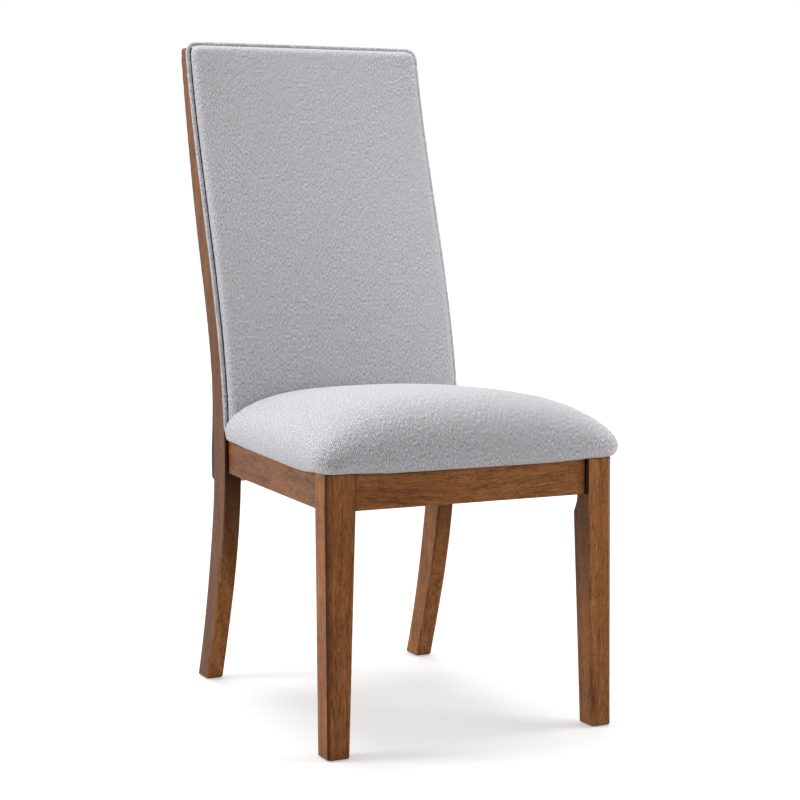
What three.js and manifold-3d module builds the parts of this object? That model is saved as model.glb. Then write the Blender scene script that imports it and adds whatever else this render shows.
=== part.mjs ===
// High-backed dining chair: a stained wooden frame with an upholstered seat and back.
// Millimetres, +Z up. The chair faces -Y, and its left side is at -X.
import * as THREE from 'three';
import { mergeVertices } from 'three/addons/utils/BufferGeometryUtils.js';
import Module from 'manifold-3d';

const wasm = await Module();
wasm.setup();

// Overall sizes
const frontSpan = 466; // across the outer faces of the front legs
const rearSpan = 413.5; // across the outer faces of the rear legs
const frameDepth = 453.5; // front faces of the front legs to front faces of the rear legs
const railTop = 406.5; // top of the seat frame above the floor
const clearance = 0.3; // gap between pieces that touch
const overrun = 6; // how far a cutting shape runs past the face it cuts
const roundSides = 12;

// Front legs
const frontLegWidth = 44;
const frontLegDepth = 44;
const frontFootWidth = 33.4;
const frontFootDepth = 36.8;
const legChamferTop = 9; // outer corner chamfer at the seat frame
const legChamferFoot = 3.6; // outer corner chamfer at the floor
const chamferCrownShare = 0.06; // how far the chamfer is bowed, as a share of its width
const edgeEase = 1.8; // small chamfer along every other long edge of the wood
const footEase = 1.8; // rounding under a foot
const cornerCut = 14; // inside corner cut away where the corner block sits
const cornerRunout = 34; // height of the curve that ends the cut below the rail

// Rear legs, seen from the side: one curve from the floor to the top of the back
const rearLegWidth = 28;
const rearLegDepth = 49.8;
const rearFootDepth = 40.5;
const footTaperHeight = 260;
const footSetback = 90; // how far the foot stands behind the seat frame's rear face
const footCurveStartShare = 0.12;
const footCurveEndShare = 1.45;
const stileTop = 1031;
const topSetback = 158; // how far the top leans behind the seat frame's rear face
const backCurveStartShare = 0.12;
const backCurveEndShare = 0.73;
const waistDepth = 43.5;
const waistStart = 543;
const waistEnd = 683;
const stileTopDepth = 24;
const stileTopRound = 6;
const curveStep = 26; // height between the points that the curved pieces of the back share

// Seat rails
const railHeight = 53.5;
const railThickness = 22;
const frontRailSetback = 8;
const sideRailSetback = 6.4;
const rearRailSetback = 10.5; // behind the front faces of the rear legs
const tenonThickness = 9;
const tenonShoulder = 8; // wood left above and below a tenon
const sideTenonLength = 15;
const rearTenonLength = 18;

// Dowels and hardware
const dowelRadius = 4;
const dowelLength = 30;
const dowelInset = 9.5; // from the rail's edge to the dowel's middle
const blockThickness = 30;
const blockHeight = 38;
const rearBlockReach = 58; // along each rail
const rearBlockTip = 12; // width left at the ends of a rear block
const boltRadius = 4;
const boltDepth = 34; // how far the bolt reaches into the leg
const boltTail = 4; // thread showing past the nut
const washerRadius = 9;
const washerThickness = 1.6;
const nutRadius = 7.5;
const nutHeight = 6.5;
const nutSides = 6;
const screwRadius = 2;
const screwHeadRadius = 4;
const screwHeadHeight = 2.4;
const screwPointLength = 3;
const screwPocket = 12; // depth of the recess for a seat screw's head
const seatScrewBite = 8.5; // how far a seat screw reaches into the board
const seatScrewOffset = 14; // beside the bolt, along the block
const seatScrewInset = 22; // behind the block's outer face
const railScrewBite = 14;
const railScrewSeat = 8; // wood between the rail and a screw's head
const frontScrewReach = 17; // from the block's wide end to its rail screw
const rearScrewReach = 34;
const glideRadius = 9;
const glideHeight = 1.5; // the feet stand this far off the floor
const glideStemRadius = 2.5;
const glideStemLength = 12;

// Seat
const seatFront = -13; // foremost point of the cushion, ahead of the front legs
const seatRearGap = 8.1; // from its rear edge to the front faces of the rear legs
const seatOverhangFront = 19; // how far the fullest line stands out beyond the legs' outer faces
const seatOverhangRear = 5.25;
const seatTuckFront = 18; // how far the cover draws in below the fullest line
const seatTuckRear = 5;
const seatCorner = 39;
const seatRearCorner = 12;
const seatBulgeHeight = 16.5; // fullest line above the seat frame
const seatCrown = 84; // top of the crown above the fullest line
const seatCrownRun = 102; // from the front edge back to the top of the crown
const seatRearFallShare = 0.27;
const seatLipLeast = 0.4; // how far the cover's lower edge hangs past the seat frame's top, at the legs
const seatLipFront = 2.7; // further down between the front legs
const seatLipSide = 6.5; // further down beside the side rails, most behind the front legs
const seatLipFlatShare = 6; // exponent: a higher one keeps the edge level nearer to the legs
const crownSideOuterShare = 2.65; // exponents of the rounded cross section
const crownSideInnerShare = 0.518;
const crownFrontOuterShare = 2.37;
const crownFrontInnerShare = 0.45;
const seatBoardThickness = 12;
const seatBoardInset = 10; // inside the cushion's bottom edge
const seatBoardCorner = 30;
const dustCoverThickness = 0.8;
const dustCoverInset = 3;
const seatRowsShares = [
  0.0006, 0.004, 0.011, 0.021, 0.034, 0.05, 0.072, 0.1, 0.14, 0.19, 0.25, 0.33, 0.42, 0.52, 0.62,
  0.72, 0.81, 0.88, 0.935, 0.97, 0.985, 0.995, 1,
];
const seatColumnsShares = [0.997, 0.975, 0.93, 0.86, 0.76, 0.63, 0.48, 0.32, 0.16];
const tuckStepsShares = [0.04, 0.3, 0.65];
const seatUnderShares = [0.85, 0.76, 0.6, 0.3];

// Back
const backRailThickness = 18;
const backRailGap = 0.3; // behind the inside back board
const crestRailHeight = 42;
const middleRailHeight = 50;
const lowerRailHeight = 46;
const middleRailFoot = 708;
const lowerRailFoot = 416;
const backTenonLength = 16;
const backTenonThickness = 8;
const padOverhang = 2.85; // how far the piping stands out beyond the stiles' outer faces
const padOutlineFoot = 408; // lowest point of the piping
const padTopRise = 10; // from the tops of the stiles up to the top of the piping
const weltRadius = 3.6;
const weltSides = 8;
const weltCorner = 16; // radius of the piping's own corners
const padCorner = 14;
const padWall = 8; // straight side of the pad, next to the piping
const padEdgeThickness = 20;
const padEdgeRound = 12;
const padCrown = 10;
const backBoardThickness = 5;
const backBoardInset = 8;
const outsideSideGap = 1.8; // from its edges out to the stiles' outer faces
const outsideFoot = 330;
const outsideTopDrop = 1; // below the tops of the stiles
const outsideCorner = 12;
const outsideWall = 5;
const outsideEdgeRound = 7;
const outsideThickness = 11;
const outsideFlare = 9; // extra thickness at the bottom of the outside back
const outsideFlareStart = 473;
const outsideFlareEnd = 369;
const outsideCrown = 2;
const edgeStepsShares = [0.08, 0.32, 0.65, 1];
const fieldColumnsShares = [0.75, 0.5, 0.25];
const backScrewSpread = 110; // from the middle of the chair

// Heights and places worked out from the sizes above
const seatRear = frameDepth - seatRearGap;
const seatBulgeFront = frontSpan / 2 + seatOverhangFront; // half width at the fullest line
const seatBulgeRear = rearSpan / 2 + seatOverhangRear;
const padOutlineHalf = rearSpan / 2 + padOverhang;
const padOutlineTop = stileTop + padTopRise;
const outsideHalf = rearSpan / 2 - outsideSideGap;
const outsideTop = stileTop - outsideTopDrop;
const railFoot = railTop - railHeight;
const railMiddle = railTop - railHeight / 2;
const blockFoot = railTop - blockHeight;
const coverLow = railTop + clearance;
const boardLow = coverLow + dustCoverThickness + clearance;
const boardHigh = boardLow + seatBoardThickness;
const padHalf = padOutlineHalf - 2 * weltRadius - clearance;
const padFoot = padOutlineFoot + 2 * weltRadius + clearance;
const padTop = padOutlineTop - 2 * weltRadius - clearance;
const root2 = Math.SQRT2;

const stainedWood = { color: 0x84583a, roughness: 0.5, metalness: 0 };
const paleWood = { color: 0xc9a87c, roughness: 0.75, metalness: 0 };
const plywood = { color: 0xbf9c6c, roughness: 0.8, metalness: 0 };
const greyFabric = { color: 0xc3c1c6, roughness: 0.95, metalness: 0 };
const blackCloth = { color: 0x1c1c1e, roughness: 0.95, metalness: 0 };
const zincSteel = { color: 0xb4b6b8, roughness: 0.35, metalness: 1 };
const darkPlastic = { color: 0x2b2622, roughness: 0.6, metalness: 0 };

const chair = new THREE.Group();
const sides = [['left', -1], ['right', 1]];

function point(x, y, z) {
  return new THREE.Vector3(x, y, z);
}

function plan(x, y) {
  return new THREE.Vector2(x, y);
}

function addPiece(name, geometry, finish) {
  geometry.computeVertexNormals();
  const mesh = new THREE.Mesh(geometry, new THREE.MeshStandardMaterial(finish));
  mesh.name = name;
  chair.add(mesh);
}

// Rise from 0 to 1 with given slopes at both ends.
function easedRise(share, startSlope, endSlope) {
  const square = share * share;
  const cube = square * share;
  return (cube - 2 * square + share) * startSlope + 3 * square - 2 * cube + (cube - square) * endSlope;
}

// Front edge of a rear leg at a height, as a distance behind the front legs' front faces.
function stileFront(z) {
  if (z < railFoot) {
    const drop = (railFoot - z) / railFoot;
    return frameDepth + footSetback * easedRise(drop, footCurveStartShare, footCurveEndShare);
  }
  const rise = Math.max(0, (z - railTop) / (stileTop - railTop));
  return frameDepth + topSetback * easedRise(rise, backCurveStartShare, backCurveEndShare);
}

// Back edge of a rear leg: deepest at the seat, slimmer above it and towards the foot.
function stileBack(z) {
  const { smoothstep } = THREE.MathUtils;
  const footLoss = (rearLegDepth - rearFootDepth) * smoothstep(footTaperHeight - z, 0, footTaperHeight);
  const waistLoss = (rearLegDepth - waistDepth) * smoothstep(z, railTop, waistStart);
  const topLoss = (waistDepth - stileTopDepth) * smoothstep(z, waistEnd, stileTop);
  return stileFront(z) + rearLegDepth - footLoss - waistLoss - topLoss;
}

// A place on a curved edge of the back: x across, z the height on the edge, and a distance off it,
// forwards from the front edge or backwards from the back edge.
function offEdge(edge, direction, x, z, distance) {
  const step = clearance;
  const slope = (edge(z + step) - edge(z - step)) / (2 * step);
  const length = Math.hypot(1, slope);
  return point(x, edge(z) + (direction * distance) / length, z - (direction * distance * slope) / length);
}

function inFront(x, z, distance) {
  return offEdge(stileFront, -1, x, z, distance);
}

function behind(x, z, distance) {
  return offEdge(stileBack, 1, x, z, distance);
}

// Heights of the points on a curve: both ends, and every shared height between them.
function curveHeights(low, high) {
  const heights = [low];
  for (let z = curveStep * Math.ceil(low / curveStep); z < high; z += curveStep) {
    if (z - low > clearance && high - z > clearance) {
      heights.push(z);
    }
  }
  return [...heights, high];
}

// Height of a quarter round at a distance in from its edge, from 0 to 1.
function quarterRound(distance, radius) {
  const share = Math.min(1, Math.max(0, distance / radius));
  return Math.sqrt(1 - (1 - share) * (1 - share));
}

// Turns a geometry's faces outwards if its volume comes out negative.
function faceOutwards(geometry) {
  const place = geometry.attributes.position;
  const index = geometry.index.array;
  const [a, b, c] = [new THREE.Vector3(), new THREE.Vector3(), new THREE.Vector3()];
  let volume = 0;
  for (let i = 0; i < index.length; i += 3) {
    a.fromBufferAttribute(place, index[i]);
    b.fromBufferAttribute(place, index[i + 1]);
    c.fromBufferAttribute(place, index[i + 2]);
    volume += a.dot(b.cross(c));
  }
  if (volume < 0) {
    index.reverse();
  }
  return geometry;
}

// Skin through a row of rings that all have the same number of points.
function loft(rings, closed = false) {
  const count = rings[0].length;
  const places = rings.flat();
  const index = [];
  const bands = closed ? rings.length : rings.length - 1;
  for (let i = 0; i < bands; i += 1) {
    const near = i * count;
    const far = ((i + 1) % rings.length) * count;
    for (let k = 0; k < count; k += 1) {
      const next = (k + 1) % count;
      index.push(near + k, near + next, far + next, near + k, far + next, far + k);
    }
  }
  if (!closed) {
    const ends = [[rings[0], 0, true], [rings.at(-1), places.length - count, false]];
    for (const [ring, start, reverse] of ends) {
      const middle = places.length;
      const centre = ring.reduce((sum, p) => sum.add(p), new THREE.Vector3()).divideScalar(count);
      places.push(centre);
      for (let k = 0; k < count; k += 1) {
        const next = (k + 1) % count;
        index.push(middle, start + (reverse ? next : k), start + (reverse ? k : next));
      }
    }
  }
  const geometry = new THREE.BufferGeometry().setFromPoints(places);
  geometry.setIndex(new THREE.BufferAttribute(Uint32Array.from(index), 1));
  return faceOutwards(geometry);
}

// Upright prism over an outline seen from above.
function upright(outline, low, high) {
  const options = { depth: high - low, bevelEnabled: false };
  return new THREE.ExtrudeGeometry(new THREE.Shape(outline), options).translate(0, 0, low);
}

// Prism across the chair with an outline seen from the side, given as y and z.
function across(outline, left, right) {
  const options = { depth: right - left, bevelEnabled: false };
  const geometry = new THREE.ExtrudeGeometry(new THREE.Shape(outline), options);
  const turn = new THREE.Matrix4().set(0, 0, 1, 0, 1, 0, 0, 0, 0, 1, 0, 0, 0, 0, 0, 1);
  return geometry.applyMatrix4(turn).translate(left, 0, 0);
}

// Moves a shape made along +Y so that it starts at a place and runs in a direction.
function along(geometry, start, direction) {
  const turn = new THREE.Quaternion().setFromUnitVectors(point(0, 1, 0), direction.clone().normalize());
  return geometry.applyQuaternion(turn).translate(start.x, start.y, start.z);
}

function rod(start, end, radius, sideCount = roundSides) {
  const length = start.distanceTo(end);
  const geometry = new THREE.CylinderGeometry(radius, radius, length, sideCount);
  return along(geometry.translate(0, length / 2, 0), start, end.clone().sub(start));
}

function solidFrom(geometry) {
  const bare = geometry.clone();
  bare.deleteAttribute('normal');
  bare.deleteAttribute('uv');
  const merged = mergeVertices(bare);
  const corners = merged.index.array;
  const kept = [];
  for (let i = 0; i < corners.length; i += 3) {
    const [a, b, c] = [corners[i], corners[i + 1], corners[i + 2]];
    if (a !== b && b !== c && c !== a) {
      kept.push(a, b, c);
    }
  }
  const vertProperties = Float32Array.from(merged.attributes.position.array);
  const triVerts = Uint32Array.from(kept);
  return new wasm.Manifold(new wasm.Mesh({ numProp: 3, vertProperties, triVerts }));
}

function geometryFrom(solid) {
  const mesh = solid.getMesh();
  const geometry = new THREE.BufferGeometry();
  geometry.setAttribute('position', new THREE.BufferAttribute(mesh.vertProperties, 3));
  geometry.setIndex(new THREE.BufferAttribute(mesh.triVerts, 1));
  return geometry;
}

function cut(geometry, cutters) {
  const solid = cutters.reduce((rest, cutter) => rest.subtract(solidFrom(cutter)), solidFrom(geometry));
  return geometryFrom(solid);
}

function join(geometry, additions) {
  const solid = additions.reduce((sum, addition) => sum.add(solidFrom(addition)), solidFrom(geometry));
  return geometryFrom(solid);
}

// Seat frame in plan

function sideRailOuter(y) {
  const front = frontSpan / 2 - sideRailSetback;
  const rear = rearSpan / 2 - sideRailSetback;
  return THREE.MathUtils.mapLinear(y, frontLegDepth, frameDepth, front, rear);
}

function sideRailInner(y) {
  return sideRailOuter(y) - railThickness;
}

const rearRailFront = frameDepth + rearRailSetback;
const frontRailBack = frontRailSetback + railThickness;
const sideTenonMiddle = sideRailOuter(frameDepth) - railThickness / 2;
const legInner = frontSpan / 2 - frontLegWidth;
const rearLegInner = rearSpan / 2 - rearLegWidth;

function sideTenon(side, grow) {
  const half = tenonThickness / 2 + grow;
  const middle = side * sideTenonMiddle;
  const start = frameDepth - overrun;
  const end = frameDepth + sideTenonLength + grow;
  const outline = [
    plan(middle - half, start), plan(middle + half, start),
    plan(middle + half, end), plan(middle - half, end),
  ];
  return upright(outline, railFoot + tenonShoulder - grow, railTop - tenonShoulder + grow);
}

function rearTenon(side, grow) {
  const middle = rearRailFront + railThickness / 2;
  const half = tenonThickness / 2 + grow;
  const inner = side * (rearLegInner - overrun);
  const outer = side * (rearLegInner + rearTenonLength + grow);
  const outline = [
    plan(inner, middle - half), plan(outer, middle - half),
    plan(outer, middle + half), plan(inner, middle + half),
  ];
  return upright(outline, railFoot + tenonShoulder - grow, railTop - tenonShoulder + grow);
}

// Places of the dowels between the rails and one front leg: start, end and name.
function frontDowels(side) {
  const reach = dowelLength / 2;
  const railY = frontRailSetback + railThickness / 2;
  const railX = side * (sideRailOuter(frontLegDepth) - railThickness / 2);
  const heights = [['lower', railFoot + dowelInset], ['upper', railTop - dowelInset]];
  return heights.flatMap(([level, z]) => [
    {
      name: `front_${level}`,
      start: point(side * (legInner - reach), railY, z),
      end: point(side * (legInner + reach), railY, z),
    },
    {
      name: `side_${level}`,
      start: point(railX, frontLegDepth - reach, z),
      end: point(railX, frontLegDepth + reach, z),
    },
  ]);
}

// A dowel's hole is a little wider and longer than the dowel.
function dowelHole({ start, end }) {
  const margin = end.clone().sub(start).normalize().multiplyScalar(clearance);
  return rod(start.clone().sub(margin), end.clone().add(margin), dowelRadius + clearance);
}

// Front corner: the bolt runs on the diagonal through the middle of the cut corner.
function frontDiagonal(side) {
  const middle = point(side * (legInner + cornerCut / 2), frontLegDepth - cornerCut / 2, railMiddle);
  return { middle, inward: point(-side, 1, 0).normalize(), alongBlock: point(side, 1, 0).normalize() };
}

function diagonalPlace(side, depth, shift, z) {
  const { middle, inward, alongBlock } = frontDiagonal(side);
  const place = middle.clone().addScaledVector(inward, depth).addScaledVector(alongBlock, shift);
  return place.setZ(z);
}

// Screws of a front block: one up into the seat board and one into each rail.
function frontBlockScrews(side) {
  const diagonal = legInner + cornerCut - frontLegDepth - (clearance + blockThickness) * root2;
  const railScrewX = diagonal + frontRailBack + frontScrewReach - railScrewSeat;
  const frontHead = point(side * railScrewX, frontRailBack + clearance + railScrewSeat, railMiddle);
  const sideY = -diagonal + sideRailInner(frontLegDepth) + frontLegDepth - frontScrewReach;
  const sideHead = point(side * (sideRailInner(sideY) - clearance - railScrewSeat), sideY, railMiddle);
  const seatHead = diagonalPlace(side, seatScrewInset, -seatScrewOffset, blockFoot + screwPocket);
  return {
    seat: { head: seatHead, way: point(0, 0, 1) },
    front: { head: frontHead, way: point(0, -1, 0) },
    side: { head: sideHead, way: point(side, 0, 0) },
  };
}

function frontBlockOutline(side) {
  const near = legInner + cornerCut - frontLegDepth - clearance * root2;
  const far = near - blockThickness * root2;
  const railY = frontRailBack + clearance;
  const slope = (sideRailInner(frameDepth) - sideRailInner(frontLegDepth)) / (frameDepth - frontLegDepth);
  const meetSide = (diagonal) => {
    const y = (sideRailInner(0) - clearance - diagonal) / (1 - slope);
    return plan(side * (diagonal + y), y);
  };
  const meetFront = (diagonal) => plan(side * (diagonal + railY), railY);
  return [meetFront(near), meetSide(near), meetSide(far), meetFront(far)];
}

// Rear corner: the block fills the angle between the side rail and the rear rail.
function rearBlockOutline(side) {
  const railY = rearRailFront - clearance;
  const cornerX = Math.min(sideRailInner(frameDepth), rearLegInner) - clearance;
  const frontY = railY - rearBlockReach;
  const frontX = sideRailInner(frontY) - clearance;
  return [
    plan(side * frontX, frontY),
    plan(side * cornerX, frameDepth),
    plan(side * cornerX, railY),
    plan(side * (cornerX - rearBlockReach), railY),
    plan(side * (cornerX - rearBlockReach), railY - rearBlockTip),
    plan(side * (frontX - rearBlockTip), frontY),
  ];
}

function rearBlockScrews(side) {
  const railY = rearRailFront - clearance;
  const cornerX = Math.min(sideRailInner(frameDepth), rearLegInner) - clearance;
  const sideY = railY - rearScrewReach;
  const inset = seatScrewInset;
  const seatHead = point(side * (cornerX - inset), frameDepth - inset, blockFoot + screwPocket);
  const rearHead = point(side * (cornerX - rearScrewReach), railY - railScrewSeat, railMiddle);
  const sideHead = point(side * (sideRailInner(sideY) - clearance - railScrewSeat), sideY, railMiddle);
  return {
    seat: { head: seatHead, way: point(0, 0, 1) },
    rear: { head: rearHead, way: point(0, 1, 0) },
    side: { head: sideHead, way: point(side, 0, 0) },
  };
}

function screwLength(name) {
  if (name === 'seat') {
    return boardLow + seatScrewBite - blockFoot - screwPocket;
  }
  return railScrewSeat + clearance + railScrewBite;
}

// Round-headed screw with a pointed end; its head seat is at the start.
function screw(head, way, length) {
  const profile = [
    plan(0, -screwHeadHeight),
    plan(screwHeadRadius / 2, -screwHeadHeight),
    plan(screwHeadRadius, -screwHeadHeight / 2),
    plan(screwHeadRadius, -clearance),
    plan(screwRadius, -clearance),
    plan(screwRadius, length - screwPointLength),
    plan(0, length),
  ];
  return along(new THREE.LatheGeometry(profile, roundSides), head, way);
}

function screwHoles(head, way, length) {
  const end = head.clone().addScaledVector(way, length + clearance);
  const mouth = head.clone().addScaledVector(way, -blockThickness);
  const back = head.clone().addScaledVector(way, -clearance);
  return [
    rod(back, end, screwRadius + clearance),
    rod(mouth, head, screwHeadRadius + clearance),
  ];
}

const frontScrews = Object.fromEntries(sides.map(([name, side]) => [name, frontBlockScrews(side)]));
const rearScrews = Object.fromEntries(sides.map(([name, side]) => [name, rearBlockScrews(side)]));

function holesFor(screws, wanted) {
  return wanted.flatMap((name) => screwHoles(screws[name].head, screws[name].way, screwLength(name)));
}

// Front legs

function frontLegRing(side, z, inset) {
  const taper = Math.min(1, Math.max(0, (railFoot - z) / railFoot));
  const width = THREE.MathUtils.lerp(frontLegWidth, frontFootWidth, taper) - 2 * inset;
  const depth = THREE.MathUtils.lerp(frontLegDepth, frontFootDepth, taper) - 2 * inset;
  const chamfer = THREE.MathUtils.lerp(legChamferTop, legChamferFoot, taper);
  const bow = chamfer * (1 / 2 - chamferCrownShare);
  const outline = [
    [0, chamfer], [bow, bow], [chamfer, 0],
    [width - edgeEase, 0], [width, edgeEase],
    [width, depth - edgeEase], [width - edgeEase, depth],
    [edgeEase, depth], [0, depth - edgeEase],
  ];
  return outline.map(([u, v]) => point(side * (frontSpan / 2 - inset - u), inset + v, z));
}

// The inside corner is cut flat for the corner block, and the cut runs out in a curve below the rail.
function cornerCutter(side) {
  const { middle, inward } = frontDiagonal(side);
  const reach = cornerCut * root2;
  const shape = new THREE.Shape();
  shape.moveTo(0, railTop + overrun);
  shape.lineTo(0, railFoot);
  shape.quadraticCurveTo(0, railFoot - cornerRunout / 2, cornerCut / root2, railFoot - cornerRunout);
  shape.lineTo(reach, railFoot - cornerRunout);
  shape.lineTo(reach, railTop + overrun);
  const width = 4 * cornerCut;
  const options = { depth: width, bevelEnabled: false, curveSegments: 5 };
  const geometry = new THREE.ExtrudeGeometry(shape, options).translate(0, 0, -width / 2);
  const upward = point(0, 0, 1);
  const basis = new THREE.Matrix4().makeBasis(inward, upward, inward.clone().cross(upward));
  return geometry.applyMatrix4(basis).translate(middle.x, middle.y, 0);
}

function glideHole(x, y) {
  const top = glideHeight + glideStemLength + clearance;
  return rod(point(x, y, glideHeight - overrun), point(x, y, top), glideStemRadius + clearance);
}

function boltEnds(side) {
  const tail = 2 * clearance + blockThickness + washerThickness + nutHeight + boltTail;
  const start = diagonalPlace(side, -boltDepth, 0, railMiddle);
  return [start, diagonalPlace(side, tail + clearance, 0, railMiddle)];
}

function frontLeg(side) {
  const foot = glideHeight;
  const levels = [
    [foot, footEase], [foot + footEase / 3, footEase / 3], [foot + footEase, 0], [railFoot, 0], [railTop, 0],
  ];
  const leg = loft(levels.map(([z, inset]) => frontLegRing(side, z, inset)));
  const [boltStart, boltEnd] = boltEnds(side);
  const past = frontDiagonal(side).inward.clone().multiplyScalar(-clearance);
  const glide = footMiddles.front(side);
  return cut(leg, [
    cornerCutter(side),
    rod(boltStart.add(past), boltEnd, boltRadius + clearance),
    glideHole(glide.x, glide.y),
    ...frontDowels(side).map(dowelHole),
  ]);
}

const footMiddles = {
  front: (side) => plan(side * (frontSpan - frontFootWidth) / 2, frontFootDepth / 2),
  rear: (side) => plan(side * (rearSpan - rearLegWidth) / 2, (stileFront(0) + stileBack(0)) / 2),
};

// Rear legs

function rearLegRing(side, z, ease, topLoss) {
  const outer = rearSpan / 2 - ease;
  const inner = rearLegInner + ease;
  const front = stileFront(z) + ease;
  const back = stileBack(z) - ease - topLoss;
  const outline = [
    [outer, front + edgeEase], [outer - edgeEase, front],
    [inner + edgeEase, front], [inner, front + edgeEase],
    [inner, back - edgeEase], [inner + edgeEase, back],
    [outer - edgeEase, back], [outer, back - edgeEase],
  ];
  return outline.map(([x, y]) => point(side * x, y, z));
}

function rearLegRings(side) {
  const low = glideHeight + footEase;
  const high = stileTop - stileTopRound;
  const rings = [rearLegRing(side, glideHeight, footEase, 0)];
  rings.push(...curveHeights(low, high).map((z) => rearLegRing(side, z, 0, 0)));
  for (const turn of [Math.PI / 6, Math.PI / 3, Math.PI / 2]) {
    const loss = 1 - Math.cos(turn);
    const z = high + stileTopRound * Math.sin(turn);
    rings.push(rearLegRing(side, z, (edgeEase / 2) * loss, stileTopRound * loss));
  }
  return rings;
}

function rearLeg(side) {
  const glide = footMiddles.rear(side);
  return cut(loft(rearLegRings(side)), [
    sideTenon(side, clearance),
    rearTenon(side, clearance),
    ...backRails.map((rail) => backTenon(rail, clearance)),
    glideHole(glide.x, glide.y),
  ]);
}

// Cross rails of the back: they follow the curve of the stiles.

const backRails = [
  { name: 'crest_rail', low: stileTop - crestRailHeight, high: stileTop },
  { name: 'middle_back_rail', low: middleRailFoot, high: middleRailFoot + middleRailHeight },
  { name: 'lower_back_rail', low: lowerRailFoot, high: lowerRailFoot + lowerRailHeight },
];

function curvedSection(low, high, near, far, place = inFront) {
  const heights = curveHeights(low, high);
  const nearSide = heights.map((z) => place(0, z, near));
  const farSide = heights.map((z) => place(0, z, far)).reverse();
  return [...nearSide, ...farSide].map((p) => plan(p.y, p.z));
}

function backTenon({ low, high }, grow) {
  const middle = -backRailGap - backRailThickness / 2;
  const half = backTenonThickness / 2 + grow;
  const reach = rearLegInner + backTenonLength + grow;
  const from = low + tenonShoulder - grow;
  const to = high - tenonShoulder + grow;
  return across(curvedSection(from, to, middle + half, middle - half), -reach, reach);
}

function backRail(rail) {
  const section = curvedSection(rail.low, rail.high, -backRailGap, -backRailGap - backRailThickness);
  const half = rearLegInner - clearance;
  return join(across(section, -half, half), [backTenon(rail, 0)]);
}

const [crestRail, , lowerRail] = backRails;
const backScrewPlaces = [['upper', crestRail], ['lower', lowerRail]].flatMap(([level, rail]) => (
  sides.map(([name, side]) => ({
    name: `back_screw_${level}_${name}`,
    x: side * backScrewSpread,
    z: (rail.low + rail.high) / 2,
  }))
));

function backScrewLine({ x, z }) {
  const head = inFront(x, z, -backRailGap - backRailThickness - clearance);
  const tip = inFront(x, z, backBoardThickness);
  return { head, way: tip.clone().sub(head).normalize(), length: tip.distanceTo(head) };
}

function backScrewHole(place) {
  const { head, way, length } = backScrewLine(place);
  const start = head.clone().addScaledVector(way, -overrun);
  return rod(start, head.clone().addScaledVector(way, length + clearance), screwRadius + clearance);
}

// Padded panel: a rounded outline, a short straight side, a rounded edge and a crowned field.
function paddedPanel(panel) {
  const { place, half, low, high, corner, wall, round, crown, thickness, near } = panel;
  const height = high - low;
  const edge = edgeStepsShares.map((share) => share * round);
  const field = curveHeights(low + round, high - round).map((z) => z - low);
  const ends = [0, ...edge.slice(0, -1)];
  const rows = [...ends, ...field, ...ends.map((d) => height - d).reverse()];
  return loft(rows.map((rise) => {
    const fromEnd = Math.min(rise, height - rise);
    const width = half - corner + corner * quarterRound(fromEnd, corner);
    const z = low + rise;
    const fieldColumns = fieldColumnsShares.map((share) => share * (width - round));
    const columns = [width, ...edge.map((d) => width - d), ...fieldColumns];
    const wholeRow = [...columns, 0, ...columns.map((x) => -x).reverse()];
    const endShare = 1 - ((2 * rise) / height - 1) ** 4;
    const ring = wholeRow.map((x) => {
      const sideShare = 1 - (x / width) ** 2;
      const edgeRise = quarterRound(width - Math.abs(x), round) * quarterRound(fromEnd, round);
      const lift = (thickness(z) - wall(z)) * edgeRise;
      return place(x, z, near + wall(z) + lift + crown * sideShare * endShare);
    });
    return [place(width, z, near), ...ring, place(-width, z, near)];
  }));
}

function insidePad(grow) {
  return paddedPanel({
    place: inFront,
    half: padHalf + grow,
    low: padFoot - grow,
    high: padTop + grow,
    corner: padCorner,
    wall: () => padWall + grow,
    round: padEdgeRound,
    crown: padCrown,
    thickness: () => padEdgeThickness + grow,
    near: clearance,
  });
}

function outsideBack() {
  const { smoothstep } = THREE.MathUtils;
  const flare = (z) => outsideFlare * (1 - smoothstep(z, outsideFlareEnd, outsideFlareStart));
  return paddedPanel({
    place: behind,
    half: outsideHalf,
    low: outsideFoot,
    high: outsideTop,
    corner: outsideCorner,
    wall: (z) => outsideWall + flare(z),
    round: outsideEdgeRound,
    crown: outsideCrown,
    thickness: (z) => outsideThickness + flare(z),
    near: clearance,
  });
}

// Bent board inside a padded panel; grown by the clearance it is the hollow that holds the board.
function bentBoard(place, half, low, high, grow) {
  const start = grow > 0 ? -overrun : clearance;
  const end = clearance + backBoardThickness + grow;
  const width = half - backBoardInset + grow;
  const from = low + backBoardInset - grow;
  const to = high - backBoardInset + grow;
  return across(curvedSection(from, to, start, end, place), -width, width);
}

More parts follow.
